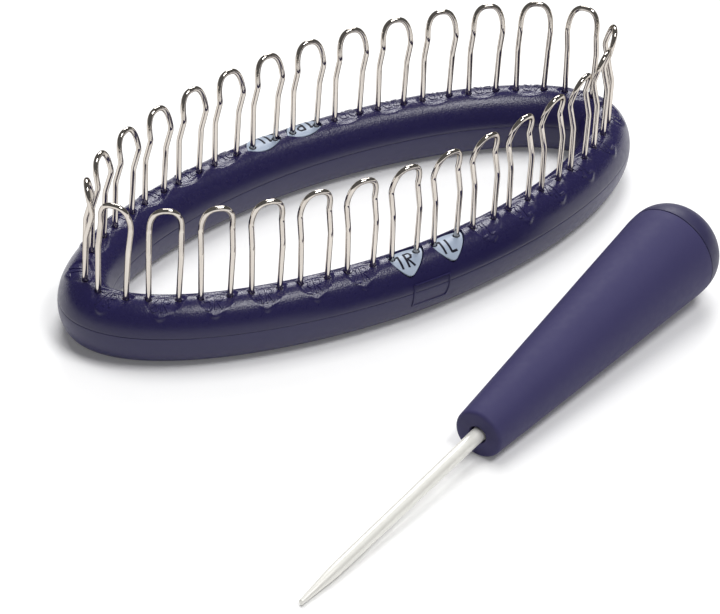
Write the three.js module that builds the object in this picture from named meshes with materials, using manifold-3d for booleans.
// Oval knitting loom with wire loops, and the pick tool that lifts the yarn over them.
// Millimetres, +Z up. The loom's long axis is X, and everything rests on the plane z = 0.

import * as THREE from "three";
import { ParametricGeometry } from "three/addons/geometries/ParametricGeometry.js";
import { mergeVertices } from "three/addons/utils/BufferGeometryUtils.js";
import Module from "manifold-3d";

// Driving dimensions ------------------------------------------------------------------------

const LOOP_COUNT = 28;
const OVAL_HALF_LENGTH = 87.5; // to the wire feet, along X
const OVAL_HALF_WIDTH = 33.4; // to the wire feet, along Y
const OVAL_EXPONENT = 1.86; // 2 would be a true ellipse; the ends are a little tighter

const RIM_HALF_WIDTH = 7.4; // half the width of the moulded rim
const RIM_HALF_HEIGHT = 9.7;
const RIM_CENTRE_Z = 9.4; // lower than the half height, so a flat strip is left to stand on
const CREST_Z = RIM_CENTRE_Z + RIM_HALF_HEIGHT;
const PARTING_Z = 10.6; // the upper body sits on the base cover a little above the widest line
const GAP = 0.3; // between pieces that touch
const OVAL_STEPS = 64;
const OVAL_LENGTH_SAMPLES = 4000;
const UPPER_ARC_STEPS = 10;
const LOWER_ARC_STEPS = 8;

const GROOVE_HALF_WIDTH = 2.0; // under the upper body, takes the base's rib
const GROOVE_TOP_Z = 12.8;
const RIB_GAP = 0.4; // between the rib and its groove
const RIB_HALF_WIDTH = GROOVE_HALF_WIDTH - RIB_GAP;
const RIB_TOP_Z = GROOVE_TOP_Z - RIB_GAP;
const CHANNEL_FLOOR_Z = 2.4; // hollow each side of the rib
const CHANNEL_SHOULDER = [4.0, 3.6]; // where the hollow's floor turns up into its wall
const CHANNEL_MOUTH = 5.2;

const WIRE_RADIUS = 0.78;
const WIRE_SIDES = 6;
const WIRE_LEG_HEIGHTS = [14, 16, 18]; // above the foot, where each leg is drawn through
const WIRE_HEAD_STEPS = 12;
const WIRE_FOOT_Z = 18.9; // where a leg leaves the rim
const WIRE_END_GAP = 0.7; // between the end of a leg and the base's rib
const FOOT_HALF_SPACING = 4.03;
const WAIST_HALF_SPACING = 4.36; // at the height where the wire starts to bend
const HEAD_HALF_WIDTH = 4.32;
const WAIST_HEIGHT = 14; // heights here are above the foot
const HEAD_START_HEIGHT = 20.8;
const HEAD_TOP_HEIGHT = 28.45;
const HEAD_EXPONENT = 2.6; // a squarer arch than a half ellipse
const SOCKET_RADIUS = WIRE_RADIUS + 0.32;
const SOCKET_SIDES = 8;
const SOCKET_HEADROOM = 1; // how far the hole's cutter stands above the foot
// Height above the foot and offset from the foot, positive away from the loom's middle.
const WIRE_CRANK = [
  [0, 0],
  [WAIST_HEIGHT, 0],
  [21, -1.7],
  [HEAD_TOP_HEIGHT, 0.13],
];

// The leaf-shaped plate around the feet of the middle loops.
const LEAF_HALF_WIDTH = 5.9;
const LEAF_TIP = 6.85; // down the outer shoulder
const LEAF_TIP_HALF_WIDTH = 1.1;
const LEAF_TIP_ROUND = 0.3;
const LEAF_WIDEST = -1.2; // where it is widest, a little inside the feet
const LEAF_SHIFT = -0.7; // of the widest line's middle, along the rim
const LEAF_SKEW = 1.8; // of the tip from there, along the rim
const LEAF_SIDE_CONTROL = [0.97, 0.63]; // of the half width and of the reach to the tip
const LEAF_BACK = 4.4; // control point of the edge over the inner shoulder
const LEAF_TILT = THREE.MathUtils.degToRad(20);
const LEAF_RECESS = 1.2;
const LEAF_THICKNESS = LEAF_RECESS - GAP;
const LEAF_EDGE_GAP = 0.3;
const LEAF_PRISM_DEPTH = 12;
const LEAF_CURVE_STEPS = 4;
const LEAF_FLOOR_DIP = 0.25; // radians that a plate's floor runs on below the rim's mid height
const MARKED_LOOPS = {
  6: "marker_front_left",
  7: "marker_front_right",
  20: "marker_back_right",
  21: "marker_back_left",
};

// The pick tool, along its own axis from the narrow end of the handle.
const TOOL_TURN = THREE.MathUtils.degToRad(19.35); // from the X axis
const TOOL_POSITION = [-30.2, -98.2]; // of the narrow end, from the middle of the loom
const HANDLE_TIP_RADIUS = 7.1;
const HANDLE_CONE_RADIUS = 13.6;
const HANDLE_CONE_LENGTH = 89;
const HANDLE_RIM_RADIUS = 14.0;
const HANDLE_RIM_START = 94;
const HANDLE_LENGTH = 96;
const HANDLE_EDGE = 0.7; // rounding of the narrow end
const CAP_LENGTH = 11.8;
const CAP_EXPONENT = 2.3;
const CAP_STEPS = 6;
const PLUG_RADIUS = 6;
const PLUG_LENGTH = 10;
const TOOL_SIDES = 24;
const ROD_SIDES = 12;
const ROD_RADIUS = 2.05;
const ROD_TIP_RADIUS = 1.75; // where the point's cone begins
const ROD_POINT_RADIUS = 0.75;
const ROD_REACH = 81; // beyond the handle
const ROD_POINT_LENGTH = 15;
const ROD_DEPTH = 28; // inside the handle

// Materials ---------------------------------------------------------------------------------

function plastic(color, roughness) {
  return new THREE.MeshStandardMaterial({ color, roughness, metalness: 0 });
}

function metal(color, roughness) {
  return new THREE.MeshStandardMaterial({ color, roughness, metalness: 1 });
}

const RIM_COLOUR = 0x2d284b;
const BASE_COLOUR = 0x2f2a4c;
const WIRE_COLOUR = 0xc9c3ba;
const MARKER_COLOUR = 0xa8bccd;
const HANDLE_COLOUR = 0x423c66;
const CAP_COLOUR = 0x3a3560;
const ROD_COLOUR = 0xd9d6cd;

// Solids ------------------------------------------------------------------------------------

const MERGE_DISTANCE = 1e-4;

const wasm = await Module();
wasm.setup();

function toSolid(geometry) {
  const bare = geometry.clone();
  bare.deleteAttribute("normal");
  bare.deleteAttribute("uv");
  const merged = mergeVertices(bare, MERGE_DISTANCE);
  return new wasm.Manifold(
    new wasm.Mesh({
      numProp: 3,
      vertProperties: new Float32Array(merged.attributes.position.array),
      triVerts: new Uint32Array(merged.index.array),
    }),
  );
}

function toGeometry(solid) {
  const mesh = solid.getMesh();
  const geometry = new THREE.BufferGeometry();
  geometry.setAttribute("position", new THREE.BufferAttribute(new Float32Array(mesh.vertProperties), 3));
  geometry.setIndex(new THREE.BufferAttribute(new Uint32Array(mesh.triVerts), 1));
  return geometry;
}

function piece(name, geometry, material) {
  const mesh = new THREE.Mesh(geometry, material);
  mesh.name = name;
  return mesh;
}

// The oval that the wire feet stand on, from its -X end by way of -Y.
class Oval extends THREE.Curve {
  getPoint(part, target = new THREE.Vector3()) {
    const angle = part * 2 * Math.PI;
    const power = 2 / OVAL_EXPONENT;
    const x = Math.sign(Math.cos(angle)) * Math.abs(Math.cos(angle)) ** power;
    const y = Math.sign(Math.sin(angle)) * Math.abs(Math.sin(angle)) ** power;
    return target.set(-OVAL_HALF_LENGTH * x, -OVAL_HALF_WIDTH * y, 0);
  }
}

const oval = new Oval();
oval.arcLengthDivisions = OVAL_LENGTH_SAMPLES;

function outwardNormal(tangent) {
  return new THREE.Vector3(tangent.y, -tangent.x, 0).normalize();
}

// Points of the rim's elliptical section between two angles, as [outward, up]. Angle 0 points
// outward and a quarter turn points up.
function rimArc(from, to, steps, inset = 0) {
  const points = [];
  for (let i = 0; i <= steps; i += 1) {
    const angle = THREE.MathUtils.lerp(from, to, i / steps);
    points.push([
      (RIM_HALF_WIDTH - inset) * Math.cos(angle),
      RIM_CENTRE_Z + (RIM_HALF_HEIGHT - inset) * Math.sin(angle),
    ]);
  }
  return points;
}

// A closed ring with the given section, carried round the oval.
function sweepOval(section) {
  const place = (u, v, target) => {
    const along = (u % 1 + 1) % 1;
    const centre = oval.getPoint(along);
    const outward = outwardNormal(oval.getTangent(along));
    const [offset, height] = section[Math.round(v * section.length) % section.length];
    target.copy(centre).addScaledVector(outward, offset);
    target.z = height;
  };
  return toSolid(new ParametricGeometry(place, OVAL_STEPS, section.length));
}

// The frame of a loop: X along the rim, Y outward, origin midway between its feet.
function loopFrame(index) {
  const part = (index + 0.5) / LOOP_COUNT;
  const tangent = oval.getTangentAt(part);
  const outward = outwardNormal(tangent);
  const up = new THREE.Vector3(0, 0, 1);
  return new THREE.Matrix4()
    .makeBasis(tangent.negate(), outward, up)
    .setPosition(oval.getPointAt(part).setZ(WIRE_FOOT_Z));
}

// The loom's rim ----------------------------------------------------------------------------

// The section's angle at a height.
function rimAngle(height) {
  return Math.asin((height - RIM_CENTRE_Z) / RIM_HALF_HEIGHT);
}

function upperSection() {
  const underside = PARTING_Z + GAP / 2;
  const start = rimAngle(underside);
  return [
    ...rimArc(start, Math.PI - start, UPPER_ARC_STEPS),
    [-GROOVE_HALF_WIDTH, underside],
    [-GROOVE_HALF_WIDTH, GROOVE_TOP_Z],
    [GROOVE_HALF_WIDTH, GROOVE_TOP_Z],
    [GROOVE_HALF_WIDTH, underside],
  ];
}

function lowerSection() {
  const floorAngle = -rimAngle(0);
  const topside = PARTING_Z - GAP / 2;
  const end = rimAngle(topside);
  const [shoulder, shoulderZ] = CHANNEL_SHOULDER;
  const half = LOWER_ARC_STEPS / 2; // from the floor to the widest line, which has points of its own
  return [
    ...rimArc(-Math.PI - end, -Math.PI, 1),
    ...rimArc(-Math.PI, -Math.PI + floorAngle, half).slice(1),
    ...rimArc(-floorAngle, 0, half),
    ...rimArc(0, end, 1).slice(1),
    [CHANNEL_MOUTH, topside],
    [shoulder, shoulderZ],
    [RIB_HALF_WIDTH, CHANNEL_FLOOR_Z],
    [RIB_HALF_WIDTH, RIB_TOP_Z],
    [-RIB_HALF_WIDTH, RIB_TOP_Z],
    [-RIB_HALF_WIDTH, CHANNEL_FLOOR_Z],
    [-shoulder, shoulderZ],
    [-CHANNEL_MOUTH, topside],
  ];
}

// The inside of the rim at a depth below its surface.
function insetRim(depth) {
  const steps = UPPER_ARC_STEPS + LEAF_CURVE_STEPS;
  return sweepOval(rimArc(-LEAF_FLOOR_DIP, Math.PI + LEAF_FLOOR_DIP, steps, depth));
}

function leafOutline(shrink) {
  const half = LEAF_HALF_WIDTH - shrink;
  const tip = LEAF_TIP - shrink;
  const tipHalf = LEAF_TIP_HALF_WIDTH;
  const tipStart = tip - LEAF_TIP_ROUND;
  const [sideAcross, sideAlong] = LEAF_SIDE_CONTROL;
  const sideX = LEAF_SHIFT + sideAlong * LEAF_SKEW;
  const sideY = THREE.MathUtils.lerp(LEAF_WIDEST, tip, sideAlong);
  const tipX = LEAF_SHIFT + LEAF_SKEW;
  const shape = new THREE.Shape();
  shape.moveTo(LEAF_SHIFT - half, LEAF_WIDEST);
  shape.quadraticCurveTo(sideX - sideAcross * half, sideY, tipX - tipHalf, tipStart);
  shape.quadraticCurveTo(tipX, tip + LEAF_TIP_ROUND, tipX + tipHalf, tipStart);
  shape.quadraticCurveTo(sideX + sideAcross * half, sideY, LEAF_SHIFT + half, LEAF_WIDEST);
  shape.quadraticCurveTo(LEAF_SHIFT, -LEAF_BACK + 2 * shrink, LEAF_SHIFT - half, LEAF_WIDEST);
  return shape;
}

// A leaf-shaped prism that stands in the loop's own frame, tilted toward the outer shoulder.
function leafPrism(index, shrink) {
  const prism = new THREE.ExtrudeGeometry(leafOutline(shrink), {
    depth: LEAF_PRISM_DEPTH,
    bevelEnabled: false,
    curveSegments: LEAF_CURVE_STEPS,
  });
  prism.translate(0, 0, -LEAF_PRISM_DEPTH / 2);
  prism.rotateX(-LEAF_TILT);
  return toSolid(prism.applyMatrix4(loopFrame(index)));
}

// The two holes that a loop's legs pass through.
function legHoles(index) {
  const depth = CREST_Z - RIM_CENTRE_Z;
  const holes = [-1, 1].map((side) => {
    const hole = new THREE.CylinderGeometry(SOCKET_RADIUS, SOCKET_RADIUS, depth, SOCKET_SIDES);
    hole.rotateX(Math.PI / 2);
    hole.translate(side * FOOT_HALF_SPACING, 0, SOCKET_HEADROOM - depth / 2);
    return toSolid(hole.applyMatrix4(loopFrame(index)));
  });
  return holes[0].add(holes[1]);
}

function buildRim() {
  const recessFloor = insetRim(LEAF_RECESS);
  const plateFloor = insetRim(LEAF_THICKNESS);
  const wholeRim = insetRim(0);
  let upper = sweepOval(upperSection());
  const markers = [];
  for (let index = 0; index < LOOP_COUNT; index += 1) {
    const holes = legHoles(index);
    if (index in MARKED_LOOPS) {
      upper = upper.subtract(leafPrism(index, 0).subtract(recessFloor));
      const plate = leafPrism(index, LEAF_EDGE_GAP).intersect(wholeRim).subtract(plateFloor);
      const geometry = toGeometry(plate.subtract(holes));
      markers.push(piece(MARKED_LOOPS[index], geometry, plastic(MARKER_COLOUR, 0.45)));
    }
    upper = upper.subtract(holes);
  }
  const lower = sweepOval(lowerSection());
  return [
    piece("ring_upper_body", toGeometry(upper), plastic(RIM_COLOUR, 0.35)),
    piece("ring_base_cover", toGeometry(lower), plastic(BASE_COLOUR, 0.38)),
    ...markers,
  ];
}

// The wire loops ----------------------------------------------------------------------------

// How far the wire is cranked away from its foot at a height.
function crankAt(height) {
  if (height <= WIRE_CRANK[0][0]) return 0;
  for (let i = 1; i < WIRE_CRANK.length; i += 1) {
    const [low, from] = WIRE_CRANK[i - 1];
    const [high, to] = WIRE_CRANK[i];
    if (height <= high) return THREE.MathUtils.mapLinear(height, low, high, from, to);
  }
  return WIRE_CRANK.at(-1)[1];
}

function wirePoint(side, height) {
  const spread = THREE.MathUtils.clamp(height / WAIST_HEIGHT, 0, 1);
  const half = THREE.MathUtils.lerp(FOOT_HALF_SPACING, WAIST_HALF_SPACING, spread);
  return new THREE.Vector3(side * half, crankAt(height), height);
}

// A curve that is drawn through its own points, close together where the wire bends.
class BentWire extends THREE.CatmullRomCurve3 {
  getUtoTmapping(part) {
    return part;
  }
}

// Up one leg, over the head and down the other leg, in the loop's own frame.
function wirePath() {
  const legEnd = RIB_TOP_Z + WIRE_END_GAP - WIRE_FOOT_Z;
  const legHeights = [legEnd, ...WIRE_LEG_HEIGHTS];
  const power = 2 / HEAD_EXPONENT;
  const points = legHeights.map((height) => wirePoint(-1, height));
  for (let i = 0; i <= WIRE_HEAD_STEPS; i += 1) {
    const angle = Math.PI * (1 - i / WIRE_HEAD_STEPS);
    const across = Math.sign(Math.cos(angle)) * Math.abs(Math.cos(angle)) ** power;
    const rise = Math.abs(Math.sin(angle)) ** power;
    const height = HEAD_START_HEIGHT + (HEAD_TOP_HEIGHT - HEAD_START_HEIGHT) * rise;
    points.push(new THREE.Vector3(HEAD_HALF_WIDTH * across, crankAt(height), height));
  }
  points.push(...legHeights.reverse().map((height) => wirePoint(1, height)));
  return new BentWire(points, false, "centripetal");
}

function polygonShape(radius, sides) {
  const shape = new THREE.Shape();
  for (let i = 0; i < sides; i += 1) {
    const angle = (2 * Math.PI * i) / sides;
    shape[i ? "lineTo" : "moveTo"](radius * Math.cos(angle), radius * Math.sin(angle));
  }
  return shape;
}

function buildLoops() {
  const extrudePath = wirePath();
  const steps = extrudePath.points.length - 1;
  const wire = new THREE.ExtrudeGeometry(polygonShape(WIRE_RADIUS, WIRE_SIDES), { steps, extrudePath });
  return Array.from({ length: LOOP_COUNT }, (_, index) => {
    const name = `wire_loop_${String(index + 1).padStart(2, "0")}`;
    const loop = piece(name, wire.clone(), metal(WIRE_COLOUR, 0.15));
    loop.applyMatrix4(loopFrame(index));
    return loop;
  });
}

// The pick tool -----------------------------------------------------------------------------

// A solid of revolution about the tool's axis, which runs along +X. Profile points are
// [along the axis, radius].
function turned(profile, sides) {
  const points = profile.map(([along, radius]) => new THREE.Vector2(radius, along));
  const geometry = new THREE.LatheGeometry(points, sides);
  geometry.rotateZ(-Math.PI / 2);
  return toGeometry(toSolid(geometry));
}

function handleGeometry() {
  return turned(
    [
      [ROD_DEPTH + GAP, 0],
      [ROD_DEPTH + GAP, ROD_RADIUS + GAP],
      [0, ROD_RADIUS + GAP],
      [0, HANDLE_TIP_RADIUS - HANDLE_EDGE],
      [HANDLE_EDGE, HANDLE_TIP_RADIUS],
      [HANDLE_CONE_LENGTH, HANDLE_CONE_RADIUS],
      [HANDLE_RIM_START, HANDLE_RIM_RADIUS],
      [HANDLE_LENGTH, HANDLE_RIM_RADIUS],
      [HANDLE_LENGTH, PLUG_RADIUS + GAP],
      [HANDLE_LENGTH - PLUG_LENGTH, PLUG_RADIUS + GAP],
      [HANDLE_LENGTH - PLUG_LENGTH, 0],
    ],
    TOOL_SIDES,
  );
}

function capGeometry() {
  const start = HANDLE_LENGTH + GAP;
  const plugEnd = HANDLE_LENGTH - PLUG_LENGTH + GAP;
  const profile = [
    [plugEnd, 0],
    [plugEnd, PLUG_RADIUS],
    [start, PLUG_RADIUS],
  ];
  for (let i = 0; i <= CAP_STEPS; i += 1) {
    const angle = (Math.PI / 2) * (i / CAP_STEPS);
    profile.push([
      start + (CAP_LENGTH - GAP) * Math.sin(angle) ** (2 / CAP_EXPONENT),
      i === CAP_STEPS ? 0 : HANDLE_RIM_RADIUS * Math.cos(angle) ** (2 / CAP_EXPONENT),
    ]);
  }
  return turned(profile, TOOL_SIDES);
}

function rodGeometry() {
  return turned(
    [
      [-ROD_REACH, 0],
      [-ROD_REACH, ROD_POINT_RADIUS],
      [-ROD_REACH + ROD_POINT_LENGTH, ROD_TIP_RADIUS],
      [0, ROD_RADIUS],
      [ROD_DEPTH, ROD_RADIUS],
      [ROD_DEPTH, 0],
    ],
    ROD_SIDES,
  );
}

// The tool lies on its handle: the narrow end and the rim touch the ground, so the axis rises
// toward the rim.
function buildTool() {
  const tilt = Math.atan2(HANDLE_RIM_RADIUS - HANDLE_TIP_RADIUS, HANDLE_RIM_START);
  const tool = new THREE.Group();
  tool.add(
    piece("tool_handle", handleGeometry(), plastic(HANDLE_COLOUR, 0.7)),
    piece("tool_end_cap", capGeometry(), plastic(CAP_COLOUR, 0.55)),
    piece("tool_pick_rod", rodGeometry(), metal(ROD_COLOUR, 0.35)),
  );
  tool.rotation.set(0, -tilt, TOOL_TURN, "ZYX");
  tool.position.set(...TOOL_POSITION, 0);
  tool.updateMatrixWorld(true);
  tool.position.z -= new THREE.Box3().setFromObject(tool, true).min.z;
  return tool;
}

// The layout: loom and tool together, centred on the origin --------------------------------

const layout = new THREE.Group();
layout.add(...buildRim(), ...buildLoops(), buildTool());
layout.updateMatrixWorld(true);
const middle = new THREE.Box3().setFromObject(layout, true).getCenter(new THREE.Vector3());
layout.position.set(-middle.x, -middle.y, 0);

export default layout;
